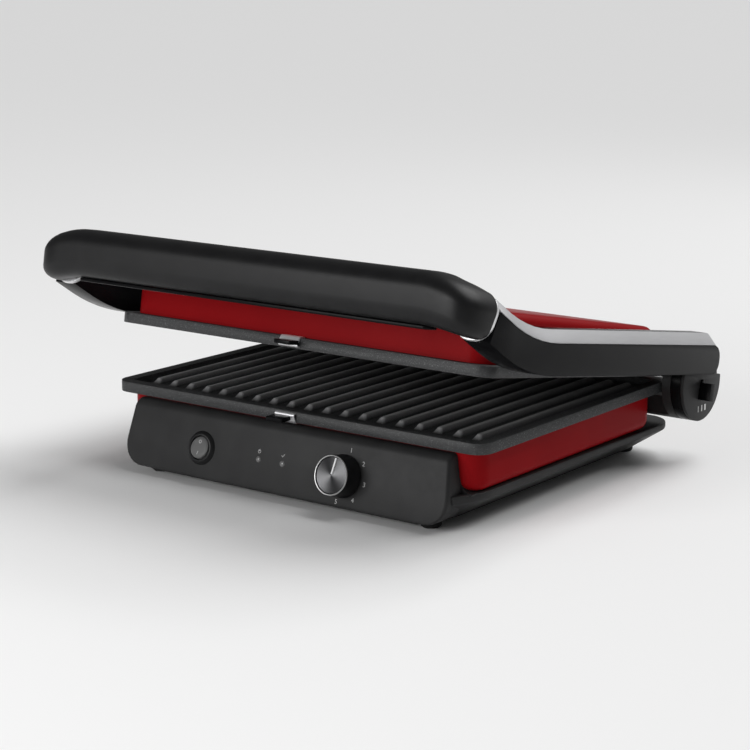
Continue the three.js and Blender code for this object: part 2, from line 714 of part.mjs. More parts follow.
const beamTop = towerTop;
const beamFoot = hingeLevel - barrelRadius;
const legInner = towerHalf + gap;
const legOuter = legInner + 34.7;

// The fixed barrel and the beam under the plates that carries it.
function hingeBracket() {
  const barrel = barX(barrelRadius, barrelInner, barrelInner + barrelWidth, hingeY, hingeLevel, 40);
  const round = barX(barrelRadius, legInner, barrelInner + 1, hingeY, hingeLevel, 40);
  const window = block([legInner, towerFront, beamFoot], [barrelInner + 1, hingeY, beamTop]);
  const leg = block([legInner, towerFront, deckLevel + gap], [legOuter, hingeY, beamTop]);
  const bore = barX(pinRadius + gap, barrelInner - 2, barrelInner + barrelWidth + 2, hingeY,
    hingeLevel, 20);
  return cut(join(barrel, keep(round, window), leg), bore);
}
pair("hinge_bracket", hingeBracket(), mattBlack);
const pinInner = earInner - 2;
pair("hinge_pin", barX(pinRadius, pinInner, capInner - gap, hingeY, hingeLevel, 20), satinSteel);

// ---- Lid arms ----------------------------------------------------------------------------

// The arm's outline in (y, z), the same distance either side of a bent centre line. drop lowers
// the top edge, and rise lifts the bottom one.
function armOutline(drop = 0, rise = 0) {
  const bendReach = bendRadius * Math.tan(rad(bendAngle) / 2);
  const bendStart = bendY + bendReach;
  const arcLevel = armLevel + bendRadius;
  const along = [Math.cos(rad(bendAngle)), Math.sin(rad(bendAngle))];
  const edge = (offset) => [ringY - offset * -along[1], ringLevel + offset * along[0]];
  const [low, high] = [rise - armHalf, armHalf - drop];
  const turn = rad(bendAngle);
  const corner = Math.min(armCorner, (high - low) / 2 - 1);
  const shape = new THREE.Shape();
  shape.moveTo(armEnd - corner, armLevel + low);
  shape.lineTo(bendStart, armLevel + low);
  shape.absarc(bendStart, arcLevel, bendRadius - low, -Math.PI / 2, -Math.PI / 2 - turn, true);
  shape.lineTo(...edge(low));
  shape.lineTo(...edge(high));
  shape.absarc(bendStart, arcLevel, bendRadius - high, -Math.PI / 2 - turn, -Math.PI / 2, false);
  shape.lineTo(armEnd - corner, armLevel + high);
  shape.absarc(armEnd - corner, armLevel + high - corner, corner, Math.PI / 2, 0, true);
  shape.absarc(armEnd - corner, armLevel + low + corner, corner, 0, -Math.PI / 2, true);
  return shape;
}

const gripScrewY = -14;
const gripScrewLevel = armLevel + 9;
const gripScrewRadius = 3;
const slotHalf = studRadius + runGap;
const studRise = Math.tan(rad(floatRange)) * (hingeY - studY);

function arm() {
  const inner = alongX(armOutline(), armInner, armOuter - trimIn - gap);
  const outer = alongX(armOutline(trimDrop + gap), armOuter - trimIn - gap, armOuter);
  const knuckle = barX(barrelRadius, knuckleInner, knuckleInner + knuckleWidth, hingeY,
    hingeLevel, 40);
  const barrelRoom = barX(barrelRadius + runGap, armInner - 1, knuckleInner, hingeY, hingeLevel, 40);
  const bore = barX(pinRadius + gap, knuckleInner - 2, capInner + 1, hingeY, hingeLevel, 20);
  const slot = block([armInner - 1, studY - slotHalf - 1, studLevel - slotHalf],
    [armInner + studReach, studY + slotHalf + 1, studLevel + studRise + slotHalf]);
  const screwHole = barX(gripScrewRadius + gap, armInner - 1, armInner + 9, gripScrewY,
    gripScrewLevel, 16);
  return cut(join(inner, outer, knuckle), barrelRoom, bore, slot, screwHole);
}
pair("arm", arm(), glossBlack, lidDrawn);

const gripScrew = join(barX(gripScrewRadius, armInner + 4.5, armInner + 6.5, gripScrewY,
  gripScrewLevel, 12), barX(1.6, armInner + 6, armInner + 8.7, gripScrewY, gripScrewLevel, 10));
pair("grip_screw", gripScrew, satinSteel, lidDrawn);

// The metal strip lies in the step along the arm's outer shoulder, its face slanting outwards.
function armTrim() {
  const bendReach = bendRadius * Math.tan(rad(bendAngle) / 2);
  const along = new THREE.Vector3(0, -Math.cos(rad(bendAngle)), Math.sin(rad(bendAngle)));
  const front = new THREE.Vector3(0, ringY, ringLevel);
  const corner = new THREE.Vector3(0, bendY, armLevel);
  const path = new THREE.CurvePath();
  const bendStart = corner.clone().setY(bendY + bendReach);
  const bendEnd = corner.clone().addScaledVector(along, bendReach);
  path.add(new THREE.LineCurve3(corner.clone().setY(armEnd - armCorner), bendStart));
  path.add(new THREE.QuadraticBezierCurve3(bendStart, corner, bendEnd));
  path.add(new THREE.LineCurve3(bendEnd, front));
  const [inside, outside] = [armOuter - trimIn, armOuter];
  const [foot, crest] = [trimDrop - armHalf, -armHalf];
  const lip = 0.4;
  const section = new THREE.Shape();
  section.moveTo(foot, inside);
  section.lineTo(crest, inside);
  section.lineTo(crest, inside + lip);
  section.lineTo(foot - lip, outside);
  section.lineTo(foot, outside);
  return new THREE.ExtrudeGeometry(section, { extrudePath: path, steps: 26 });
}
pair("arm_trim", armTrim(), satinSteel, lidDrawn);

// ---- Grip --------------------------------------------------------------------------------

const gripFront = gripY - gripHeight / 2;
const gripBack = gripY + gripHeight / 2;
const gripFoot = gripLevel - gripHeight / 2;
const forward = new THREE.Vector3(0, -Math.cos(rad(bendAngle)), Math.sin(rad(bendAngle)));
const ringCentre = new THREE.Vector3(armOuter - ringWidth / 2, ringY, ringLevel);

// Sets a shape drawn in (x, up) across the front end of the arm, the given distance ahead of it.
function acrossArm(geometry, ahead) {
  const seat = ringCentre.clone().addScaledVector(forward, ahead);
  return geometry.rotateX(rad(90 - bendAngle)).translate(seat.x, seat.y, seat.z);
}
const ringOutline = roundedRect(ringWidth - 1, 2 * armHalf + 1, gripRound);
pair("grip_ring", acrossArm(slab(ringOutline, ringThick), gap), chrome, lidDrawn);

// The swept corner at the grip's right end, dipping to meet the ring.
function gripCorner() {
  const miter = 0.8; // the rounding stands this much further out on the sweep
  const half = armOuter - gripRound - miter;
  const [front, back] = [gripFront + gripRound, gripBack - gripRound];
  const outline = new THREE.Shape();
  outline.moveTo(gripCornerX, front);
  outline.absellipse(gripCornerX, back, half - gripCornerX, back - front, -Math.PI / 2, 0);
  outline.lineTo(gripCornerX, back);
  const corner = new THREE.ExtrudeGeometry(outline, { depth: gripHeight - 2 * gripRound,
    bevelThickness: gripRound, bevelSize: gripRound, bevelSegments: 3, curveSegments: 6 });
  const position = corner.attributes.position;
  for (let i = 0; i < position.count; i += 1) {
    const out = Math.max(0, position.getX(i) - gripCornerX) / (armOuter - gripCornerX);
    position.setZ(i, position.getZ(i) + gripFoot + gripRound - out * gripDip);
  }
  return corner;
}

function gripBar() {
  const section = roundedRect(gripHeight, gripHeight, gripRound);
  const bar = alongX(section, -gripCornerX, gripCornerX, 4).translate(0, gripY, gripLevel);
  const behind = block([-ringWidth / 2 - runGap, -60, -60], [ringWidth / 2 + 2, 60, 0]);
  const seat = acrossArm(behind, ringThick + 2 * gap);
  const corner = cut(gripCorner(), seat);
  return join(bar, corner, mirrored(corner));
}
piece("handle_grip", gripBar(), satinBlack, lidDrawn);

const insertHalf = gripCornerX - 4;
const insertThick = 2.4;
const insertLevel = gripFoot - gap - insertThick;
piece("handle_insert", slab(roundedRect(2 * insertHalf, gripHeight / 2 - 3, 4), insertThick,
  insertLevel, 3).translate(0, gripY, 0), glossBlack, lidDrawn);

// ---- Hinge caps and height selector ------------------------------------------------------

const axleRadius = 2.2;
function hingeCap() {
  const disc = barX(barrelRadius, capInner, capOuter, hingeY, hingeLevel, 40);
  const below = block([capInner - 1, 0, 0], [capOuter + 1, hingeY + 2 * barrelRadius,
    armLevel - armHalf - gap]);
  const hole = barX(axleRadius + gap, capInner - 1, capOuter + 1, hingeY, hingeLevel, 16);
  return cut(keep(disc, below), hole);
}
pair("hinge_cap", hingeCap(), mattBlack, lidDrawn);

// The lever that sets how far the lid may close; it turns on a short axle in the right cap.
function selectorLever() {
  const outline = roundedRect(leverThick, leverHeight, 1);
  const handle = alongX(outline, capOuter + gap, capOuter + leverProud)
    .translate(0, 0, -leverHeight / 2);
  const axle = barX(axleRadius, capInner, capOuter + gap + 1, 0, 0, 16);
  return join(handle, axle);
}
piece("height_selector", selectorLever(), glossBlack, selector);

// The part stands on the middle of its bounding box's underside.
const box = new THREE.Box3().setFromObject(grill, true);
grill.position.y = -(box.min.y + box.max.y) / 2;

export default grill;
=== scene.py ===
# Electric contact grill: the fine shapes and finishes that go round the CAD frame.
# Pieces are drawn in millimetres on a bench: x to the right, y back from the lower plate's
# front edge, z up from the table. The lid's pieces are drawn shut and then opened.
import json
import math

import bmesh
import bpy
from mathutils import Matrix, Vector


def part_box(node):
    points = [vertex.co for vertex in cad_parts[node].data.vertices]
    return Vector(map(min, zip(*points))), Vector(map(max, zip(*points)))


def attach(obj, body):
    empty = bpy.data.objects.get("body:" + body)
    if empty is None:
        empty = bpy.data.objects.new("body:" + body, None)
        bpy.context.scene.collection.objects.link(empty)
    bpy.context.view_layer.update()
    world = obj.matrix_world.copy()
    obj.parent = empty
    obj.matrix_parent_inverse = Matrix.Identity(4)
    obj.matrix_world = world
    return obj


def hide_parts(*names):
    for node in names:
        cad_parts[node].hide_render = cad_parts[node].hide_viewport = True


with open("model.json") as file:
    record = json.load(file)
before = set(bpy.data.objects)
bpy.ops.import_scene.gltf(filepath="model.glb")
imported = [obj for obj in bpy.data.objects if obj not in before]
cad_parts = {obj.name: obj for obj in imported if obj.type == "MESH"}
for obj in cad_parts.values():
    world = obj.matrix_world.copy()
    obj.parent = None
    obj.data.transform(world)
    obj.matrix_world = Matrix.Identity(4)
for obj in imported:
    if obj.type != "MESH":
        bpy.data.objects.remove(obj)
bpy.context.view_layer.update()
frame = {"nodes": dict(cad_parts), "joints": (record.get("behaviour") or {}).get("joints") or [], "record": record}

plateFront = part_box("lower_grill_plate")[0].y
toBench = Matrix.Scale(1000, 4) @ Matrix.Translation((0, -plateFront, 0))
toFrame = toBench.inverted()
joints = {joint["name"]: joint for joint in frame["joints"]}


def benchBox(node):
    low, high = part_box(node)
    return toBench @ low, toBench @ high


def jointPlace(name):
    return toBench @ Vector(joints[name]["pos_m"])


hinge = jointPlace("lid_hinge")
opening = -math.radians(joints["lid_hinge"]["range_deg"][0])
lidRest = (Matrix.Translation(hinge) @ Matrix.Rotation(-opening, 4, "X")
           @ Matrix.Translation(-hinge))
knobPlace = jointPlace("thermostat_knob_turn")
panelLean = math.asin(-joints["thermostat_knob_turn"]["axis"][2])
onPanel = (Matrix.Translation((0, knobPlace.y, knobPlace.z))
           @ Matrix.Rotation(math.pi / 2 - panelLean, 4, "X"))  # x right, y up the slope, z out


# A wire is one output socket, and an expression on wires adds its Math nodes.
class Wire:
    def __init__(self, paint, socket):
        self.paint, self.socket = paint, socket

    def maths(self, operation, first, second):
        return self.paint.node("Math", {"operation": operation}, {0: first, 1: second})

    def __add__(self, other):
        return self.maths("ADD", self, other)

    def __sub__(self, other):
        return self.maths("SUBTRACT", self, other)

    def __rsub__(self, other):
        return self.maths("SUBTRACT", other, self)

    def __mul__(self, other):
        return self.maths("MULTIPLY", self, other)

    def __pow__(self, other):
        return self.maths("POWER", self, other)

    __radd__ = __add__
    __rmul__ = __mul__


class Paint:
    def __init__(self, name):
        self.material = bpy.data.materials.new(name)
        self.material.use_nodes = True
        self.nodes = self.material.node_tree.nodes
        self.links = self.material.node_tree.links
        self.nodes.clear()

    def node(self, kind, settings, inputs, output=0):
        made = self.nodes.new("ShaderNode" + kind)
        for name, value in settings.items():
            if name == "stops":
                for stop, (place, grey) in zip(made.color_ramp.elements, value):
                    stop.position, stop.color = place, (grey, grey, grey, 1)
            else:
                setattr(made, name, value)
        for name, value in inputs.items():
            if isinstance(value, Wire):
                self.links.new(value.socket, made.inputs[name])
            else:
                made.inputs[name].default_value = value
        return Wire(self, made.outputs[output]) if made.outputs else None

    def noise(self, scale, detail=2, stretch=(1, 1, 1)):
        place = self.node("TexCoord", {}, {}, "Object")
        mapped = self.node("Mapping", {}, {"Vector": place, "Scale": stretch})
        return self.node("TexNoise", {}, {"Vector": mapped, "Scale": scale, "Detail": detail})

    def steps(self, value, low, high):
        return self.node("ValToRGB", {"stops": [(low, 0), (high, 1)]}, {0: value})

    def blend(self, share, first, second):
        colours = {0: share, 6: (*first, 1), 7: (*second, 1)}
        return self.node("Mix", {"data_type": "RGBA"}, colours, 2)

    def bump(self, height, strength, distance):
        values = {"Height": height, "Strength": strength, "Distance": distance}
        return self.node("Bump", {}, values)

    def finish(self, **values):
        names = {key: key.replace("_", " ").title().replace("Ior", "IOR") for key in values}
        inputs = {names[key]: value for key, value in values.items()}
        surface = self.node("BsdfPrincipled", {}, inputs)
        self.node("OutputMaterial", {}, {"Surface": surface})
        return self.material


# Noise sizes are in turns per metre, and skin depths in metres.
plasticSkin = {"patches": 60, "smears": 240, "smearing": 0.12, "grain": 2600, "depth": 0.0002,
               "coatRough": 0.08}
enamelSkin = {"dark": (0.235, 0.005, 0.007), "light": (0.26, 0.006, 0.008), "patches": 25,
              "peel": 420, "depth": 0.0002, "smears": 180, "gloss": 0.26, "sheen": 0.02}
# top and topSpeck are the lighter colours of the painted highlight on the rib tops.
castSkin = {"coating": (0.028, 0.029, 0.03), "coatingSpeck": (0.2, 0.2, 0.205),
            "top": (0.3, 0.3, 0.303), "topSpeck": (0.5, 0.5, 0.505), "specks": 1900,
            "grain": 1500, "depth": 0.0002, "smears": 90, "rough": 0.5, "sheen": 0.4}
brushedSkin = {"lines": 700, "darker": 0.88, "smearing": 0.14, "depth": 0.0001}
# dark and light are the two ends of the painted sheen on the knob's face; fanTurn turns it.
spunSkin = {"dark": (0.02, 0.02, 0.021), "light": (0.11, 0.11, 0.113), "rings": 9000,
            "depth": 0.0001, "fanTurn": 0.6, "rough": 0.32}


# Moulded plastic: a fine spark-eroded grain, slow changes of shade and of gloss.
def plastic(name, dark, light, rough, grain, coat=0.0, sheen=0.22):
    paint = Paint(name)
    patches = paint.steps(paint.noise(plasticSkin["patches"], 3), 0.35, 0.7)
    smears = paint.noise(plasticSkin["smears"], 3) * plasticSkin["smearing"]
    gloss = smears + (rough - plasticSkin["smearing"] / 2)
    skin = paint.bump(paint.noise(plasticSkin["grain"]), grain, plasticSkin["depth"])
    return paint.finish(base_color=paint.blend(patches, dark, light), roughness=gloss,
                        normal=skin, coat_weight=coat, coat_roughness=plasticSkin["coatRough"],
                        specular_ior_level=sheen)


# Sprayed enamel: a slight orange peel.
def enamel():
    paint = Paint("redEnamel")
    patches = paint.steps(paint.noise(enamelSkin["patches"]), 0.3, 0.75)
    shade = paint.blend(patches, enamelSkin["dark"], enamelSkin["light"])
    peel = paint.bump(paint.noise(enamelSkin["peel"]), 0.05, enamelSkin["depth"])
    gloss = paint.noise(enamelSkin["smears"], 3) * 0.1 + enamelSkin["gloss"]
    return paint.finish(base_color=shade, roughness=gloss, normal=peel,
                        specular_ior_level=enamelSkin["sheen"])


# Cast plate with a dark coating: pale mineral specks, a coarse skin, and rib tops painted lighter as a painted
# highlight.
def castCoating():
    paint = Paint("castCoating")
    specks = paint.steps(paint.noise(castSkin["specks"], 1), 0.6, 0.78)
    # This mask marks the rib tops, whose colour is lightened as a painted highlight.
    paintedRibHighlight = paint.node("Attribute", {"attribute_name": "paintedRibHighlight"}, {}, 2)
    cast = paint.blend(specks, castSkin["coating"], castSkin["coatingSpeck"])
    tops = paint.blend(specks, castSkin["top"], castSkin["topSpeck"])
    shade = paint.node("Mix", {"data_type": "RGBA"}, {0: paintedRibHighlight, 6: cast, 7: tops}, 2)
    gloss = castSkin["rough"] - specks * 0.15 + paint.noise(castSkin["smears"], 3) * 0.08
    skin = paint.bump(paint.noise(castSkin["grain"], 3), 0.35, castSkin["depth"])
    return paint.finish(base_color=shade, roughness=gloss, normal=skin,
                        specular_ior_level=castSkin["sheen"])


# Brushed metal: the stretch draws the noise out along the brush lines.
def brushed(name, tone, rough, stretch, metallic=1.0):
    paint = Paint(name)
    lines = paint.noise(brushedSkin["lines"], stretch=stretch)
    shade = paint.blend(lines, [part * brushedSkin["darker"] for part in tone], tone)
    gloss = lines * brushedSkin["smearing"] + (rough - brushedSkin["smearing"] / 2)
    skin = paint.bump(lines, 0.06, brushedSkin["depth"])
    return paint.finish(base_color=shade, roughness=gloss, normal=skin, metallic=metallic)


# The knob's face is turned: fine rings round its centre, and a sheen that fans out from it, painted into its
# colour.
def spunFace():
    paint = Paint("spunFace")
    toPanel = onPanel.to_3x3().inverted()
    centre = toPanel @ (toFrame @ knobPlace)
    place = paint.node("TexCoord", {}, {}, "Object")
    flat = paint.node("Mapping", {}, {"Vector": place, "Rotation": toPanel.to_euler()})
    flat = paint.node("Mapping", {}, {"Vector": flat, "Location": -centre})
    apart = paint.node("SeparateXYZ", {}, {"Vector": flat})
    y = Wire(paint, apart.socket.node.outputs[1])
    radius = (apart * apart + y * y) ** 0.5
    rings = paint.node("Math", {"operation": "SINE"}, {0: radius * spunSkin["rings"]})
    angle = paint.node("Math", {"operation": "ARCTAN2"}, {0: y, 1: apart})
    # This is a painted highlight: the colour lightens and darkens by angle round the centre.
    paintedSheen = paint.node("Math", {"operation": "SINE"}, {0: angle * 2 + spunSkin["fanTurn"]})
    shade = paint.blend(paintedSheen * 0.5 + 0.5, spunSkin["dark"], spunSkin["light"])
    skin = paint.bump(rings, 0.25, spunSkin["depth"])
    return paint.finish(base_color=shade, roughness=spunSkin["rough"], normal=skin, metallic=1.0)


paints = {
    "matt_black": plastic("mattPlastic", (0.02, 0.02, 0.0205), (0.026, 0.026, 0.0265), 0.5, 0.3),
    "satin_black": plastic("satinPlastic", (0.006, 0.006, 0.0065), (0.009, 0.009, 0.0095), 0.4,
                           0.12),
    "gloss_black": plastic("glossPlastic", (0.004, 0.004, 0.0045), (0.006, 0.006, 0.0065), 0.24,
                           0.02, sheen=0.06),
    "red_paint": enamel(),
    "cast_plate": castCoating(),
    "satin_steel": brushed("satinSteel", (0.5, 0.5, 0.5), 0.36, (1, 0.04, 1)),
    "chrome": brushed("polishedChrome", (0.85, 0.85, 0.86), 0.34, (1, 1, 1), 0.7),
    "spun_metal": spunFace(),
    "grey_plastic": plastic("greyPlastic", (0.11, 0.11, 0.11), (0.14, 0.14, 0.14), 0.4, 0.1),
    "lens": plastic("smokedLens", (0.13, 0.13, 0.13), (0.17, 0.17, 0.17), 0.2, 0.02, 0.6),
    "rubber": plastic("blackRubber", (0.008, 0.008, 0.008), (0.013, 0.013, 0.013), 0.75, 0.4),
    "aluminium": brushed("brightAluminium", (0.6, 0.61, 0.63), 0.32, (0.05, 1, 1)),
    "white_inlay": plastic("whiteInk", (0.9, 0.9, 0.9), (0.97, 0.97, 0.97), 0.5, 0.02),
    "cream_plastic": plastic("creamPlastic", (0.6, 0.56, 0.46), (0.68, 0.64, 0.53), 0.5, 0.1),
}
stripPaint = brushed("satinSilver", (0.42, 0.42, 0.43), 0.5, (1, 0.03, 1), 0.3)
inkPaint = plastic("greyInk", (0.5, 0.5, 0.5), (0.58, 0.58, 0.58), 0.5, 0.02)
nodeSlots = {row["node"]: row["material_slot"] for row in frame["record"]["subparts"]}
for nodeName, node in frame["nodes"].items():
    node.data.materials.clear()
    node.data.materials.append(paints[nodeSlots[nodeName]])
print("finishes mixed:", len(paints) + 2)


sameWay = 0.99  # the cosine above which two directions count as one


# A block between two corners; a corner radius rounds its upright edges.
def newBlock(low, high, corner=0, segments=8):
    bm = bmesh.new()
    low, high = Vector(low), Vector(high)
    bmesh.ops.create_cube(bm, size=1)
    bmesh.ops.scale(bm, vec=high - low, verts=bm.verts)
    bmesh.ops.translate(bm, vec=(low + high) / 2, verts=bm.verts)
    if corner:
        roundEdges(bm, edgesAlong(bm, 2), corner, segments)
    return bm


def edgesAlong(bm, axis):
    def along(edge):
        reach = edge.verts[0].co - edge.verts[1].co
        return abs(reach[axis]) > sameWay * reach.length
    return [edge for edge in bm.edges if along(edge)]


def roundEdges(bm, edges, width, segments=4):
    bmesh.ops.bevel(bm, geom=edges, offset=width, segments=segments, profile=0.5,
                    affect="EDGES", material=-1, clamp_overlap=True)


def roundCorners(bm, verts, width, segments=8):
    bmesh.ops.bevel(bm, geom=verts, offset=width, segments=segments, profile=0.5,
                    affect="VERTICES", material=-1, clamp_overlap=True)


def soften(bm, width, segments=2, least=30, where=None):
    sharp = [edge for edge in bm.edges if edge.is_manifold
             and edge.calc_face_angle(0) > math.radians(least) and (not where or where(edge))]
    roundEdges(bm, sharp, width, segments)


def facing(bm, direction):
    bm.normal_update()
    return [face for face in bm.faces if face.normal.dot(Vector(direction)) > sameWay]


# A flat outline of a few points becomes one face, which is then pushed out.
def newOutline(points):
    bm = bmesh.new()
    bm.faces.new([bm.verts.new(point) for point in points])
    return bm


def pushOut(bm, reach):
    made = bmesh.ops.extrude_face_region(bm, geom=bm.faces[:])
    moved = [item for item in made["geom"] if isinstance(item, bmesh.types.BMVert)]
    bmesh.ops.translate(bm, vec=reach, verts=moved)
    bmesh.ops.recalc_face_normals(bm, faces=bm.faces)


def lathe(outline, segments=48, closed=False):
    bm = bmesh.new()
    points = [bm.verts.new((radius, 0, height)) for radius, height in outline]
    ends = points + points[:1] if closed else points
    edges = [bm.edges.new(two) for two in zip(ends, ends[1:])]
    bmesh.ops.spin(bm, geom=points + edges, cent=(0, 0, 0), axis=(0, 0, 1), angle=2 * math.pi,
                   steps=segments, use_merge=True)
    bmesh.ops.remove_doubles(bm, verts=bm.verts, dist=1e-3)
    return bm


# Cuts right across at a plane; drop takes away the far side and closes the hole.
def cutAcross(bm, point, normal, drop=False):
    geometry = bm.verts[:] + bm.edges[:] + bm.faces[:]
    cut = bmesh.ops.bisect_plane(bm, geom=geometry, plane_co=point, plane_no=normal,
                                 clear_outer=drop, dist=1e-4)
    if drop:
        edges = [item for item in cut["geom_cut"] if isinstance(item, bmesh.types.BMEdge)]
        bmesh.ops.holes_fill(bm, edges=edges, sides=0)


def addCopies(bm, other, placements):
    mesh = bpy.data.meshes.new("scratch")
    other.to_mesh(mesh)
    for placement in placements:
        copy = mesh.copy()
        copy.transform(placement)
        if placement.to_3x3().determinant() < 0:
            copy.flip_normals()
        bm.from_mesh(copy)
        bpy.data.meshes.remove(copy)
    bpy.data.meshes.remove(mesh)
    other.free()


mirrorX = Matrix.Scale(-1, 4, (1, 0, 0))


def makePiece(name, bm, body, slot, replaced=(), placement=Matrix(), paint=None, crease=32):
    bmesh.ops.remove_doubles(bm, verts=bm.verts, dist=1e-3)
    bmesh.ops.transform(bm, matrix=toFrame @ placement, verts=bm.verts)
    bmesh.ops.recalc_face_normals(bm, faces=bm.faces)
    mesh = bpy.data.meshes.new(name)
    bm.to_mesh(mesh)
    bm.free()
    mesh.materials.append(paint or paints[slot])
    mesh.shade_smooth()
    mesh.set_sharp_from_angle(angle=math.radians(crease))
    piece = bpy.data.objects.new(name, mesh)
    bpy.context.scene.collection.objects.link(piece)
    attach(piece, body)
    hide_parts(*replaced)
    return piece


# A copy of a CAD node on the bench, its doubles merged and its flat faces joined.
def copyOfNode(node):
    bm = bmesh.new()
    bm.from_mesh(frame["nodes"][node].data)
    bmesh.ops.transform(bm, matrix=toBench, verts=bm.verts)
    bmesh.ops.remove_doubles(bm, verts=bm.verts, dist=2e-3)
    bmesh.ops.dissolve_limit(bm, angle_limit=math.radians(1.5), verts=bm.verts, edges=bm.edges)
    return bm


# CAD shapes that are right but for their sharp edges: body, softened width and steps.
softened = {
    "base_bottom_cover": ("base", 0.3, 1),
    "hinge_bracket_right": ("base", 0.8, 2), "hinge_bracket_left": ("base", 0.8, 2),
    "arm_right": ("lid", 1.3, 3), "arm_left": ("lid", 1.3, 3),
    "arm_trim_right": ("lid", 0.15, 1), "arm_trim_left": ("lid", 0.15, 1),
    "grip_ring_right": ("lid", 0.5, 2), "grip_ring_left": ("lid", 0.5, 2),
    "handle_insert": ("lid", 0.5, 2), "hinge_cap_right": ("lid", 0.7, 2),
    "hinge_cap_left": ("lid", 0.7, 2), "height_selector": ("selector", 1.1, 3),
}
for nodeName, (body, width, segments) in softened.items():
    bm = copyOfNode(nodeName)
    soften(bm, width, segments)
    paint = stripPaint if nodeName.startswith("arm_trim") else None
    makePiece(nodeName + "_fine", bm, body, nodeSlots[nodeName], [nodeName], paint=paint)
print("CAD edges softened:", len(softened))


# Both grill plates are one casting. The upper one is turned over.
plate = {"corner": 12, "rim": 9, "slope": 3, "channel": 4.2, "edge": 0.7,
         "ribPitch": 16.05, "ribTop": 3.6, "ribFoot": 8.2, "ribSunk": 0.5, "ribSetback": 22.5,
         "ribEnd": 1.5, "ribEdge": 0.7, "notchHalf": 9, "notchDeep": 3.5, "notchDrop": 1.8,
         # The last entry is how far below the plate's top the rib tops get their painted highlight.
         "shutGap": 0.5, "polished": 1.3}
plateLow, plateHigh = benchBox("lower_grill_plate")
plateTop, plateThick = plateHigh.z, plateHigh.z - plateLow.z


def oneRib(length):
    deep = plate["channel"] - plate["ribSunk"]
    bm = newBlock((-0.5, -0.5, -deep), (0.5, 0.5, 0))
    upper = [vert for vert in bm.verts if vert.co.z > -deep / 2]
    lower = [vert for vert in bm.verts if vert.co.z < -deep / 2]
    bmesh.ops.scale(bm, vec=(plate["ribTop"], length - 2 * deep, 1), verts=upper)
    bmesh.ops.scale(bm, vec=(plate["ribFoot"], length, 1), verts=lower)
    corners = [edge for edge in bm.edges
               if abs(edge.verts[0].co.z - edge.verts[1].co.z) > deep / 2]
    roundEdges(bm, corners, plate["ribEnd"], 4)
    rim = [edge for face in facing(bm, (0, 0, 1)) for edge in face.edges]
    roundEdges(bm, rim, plate["ribEdge"], 3)
    bmesh.ops.translate(bm, vec=(0, 0, -plate["ribSunk"]), verts=bm.verts)
    return bm


# The notch in the front rim leaves room for the release clip.
def cutNotch(bm):
    half, deep, drop = plate["notchHalf"], plate["notchDeep"], plate["notchDrop"]
    for point, normal in (((half, 0, 0), (1, 0, 0)), ((-half, 0, 0), (1, 0, 0)),
                          ((0, deep, 0), (0, 1, 0)), ((0, 0, -drop), (0, 0, 1))):
        near = [face for face in bm.faces if face.calc_center_median().y < plate["rim"] / 2 + 0.1
                and abs(face.calc_center_median().x) < 1 + half]
        around = list({item for face in near for item in (*face.verts, *face.edges)})
        bmesh.ops.bisect_plane(bm, geom=near + around, plane_co=point, plane_no=normal, dist=1e-4)
    inNotch = [face for face in facing(bm, (0, 0, 1))
               if face.calc_center_median().y < deep and abs(face.calc_center_median().x) < half]
    made = bmesh.ops.extrude_face_region(bm, geom=inNotch)
    sunk = [item for item in made["geom"] if isinstance(item, bmesh.types.BMVert)]
    bmesh.ops.translate(bm, vec=(0, 0, -drop), verts=sunk)
    bmesh.ops.delete(bm, geom=inNotch, context="FACES_ONLY")
    fronts = [face for face in bm.faces if face.calc_center_median().y < 0.01
              and abs(face.calc_center_median().x) < half
              and face.calc_center_median().z > -drop]
    bmesh.ops.delete(bm, geom=fronts, context="FACES_ONLY")


def onePlate():
    bm = newBlock((plateLow.x, 0, -plateThick), (plateHigh.x, plateHigh.y, 0), plate["corner"])
    top = facing(bm, (0, 0, 1))
    bmesh.ops.inset_region(bm, faces=top, thickness=plate["rim"], use_even_offset=True)
    bmesh.ops.inset_region(bm, faces=top, thickness=plate["slope"], depth=-plate["channel"],
                           use_even_offset=True)
    cutNotch(bm)
    bmesh.ops.remove_doubles(bm, verts=bm.verts, dist=1e-3)
    bmesh.ops.recalc_face_normals(bm, faces=bm.faces)
    soften(bm, plate["edge"], 3, 35)
    room = plateHigh.x - plateLow.x - 2 * (plate["rim"] + plate["slope"]) - plate["ribFoot"]
    count = 1 + int(room / plate["ribPitch"])
    middle = plateHigh.y / 2
    places = [Matrix.Translation(((i - (count - 1) / 2) * plate["ribPitch"], middle, 0))
              for i in range(count)]
    addCopies(bm, oneRib(plateHigh.y - 2 * plate["ribSetback"]), places)
    # Vertices near the top of the ribs are marked for the painted highlight that lightens their colour.
    paintedRibHighlight = bm.verts.layers.float.new("paintedRibHighlight")
    for vert in bm.verts:
        inside = (abs(vert.co.x) < plateHigh.x - plate["rim"] - plate["slope"]
                  and plate["ribSetback"] - 1 < vert.co.y < plateHigh.y - plate["ribSetback"] + 1)
        vert[paintedRibHighlight] = 1 if inside and vert.co.z > -plate["polished"] else 0
    return bm


upperFace = plateTop + plate["shutGap"]
turnOver = lidRest @ Matrix.Translation((0, 0, upperFace)) @ Matrix.Rotation(math.pi, 4, "Y")
makePiece("lower_plate_cast", onePlate(), "base", "cast_plate", ["lower_grill_plate"],
          Matrix.Translation((0, 0, plateTop)))
makePiece("upper_plate_cast", onePlate(), "upper_housing", "cast_plate", ["upper_grill_plate"],
          turnOver)
print("plates cast")


# The painted housings are pressed trays. The upper one is turned over.
housing = {"corner": 15, "roll": 8, "sheet": 1.4, "gap": 0.3, "upperFront": 36, "upperBack": 27,
           "earSkin": 0.2}
panLow, panHigh = benchBox("lower_red_housing")


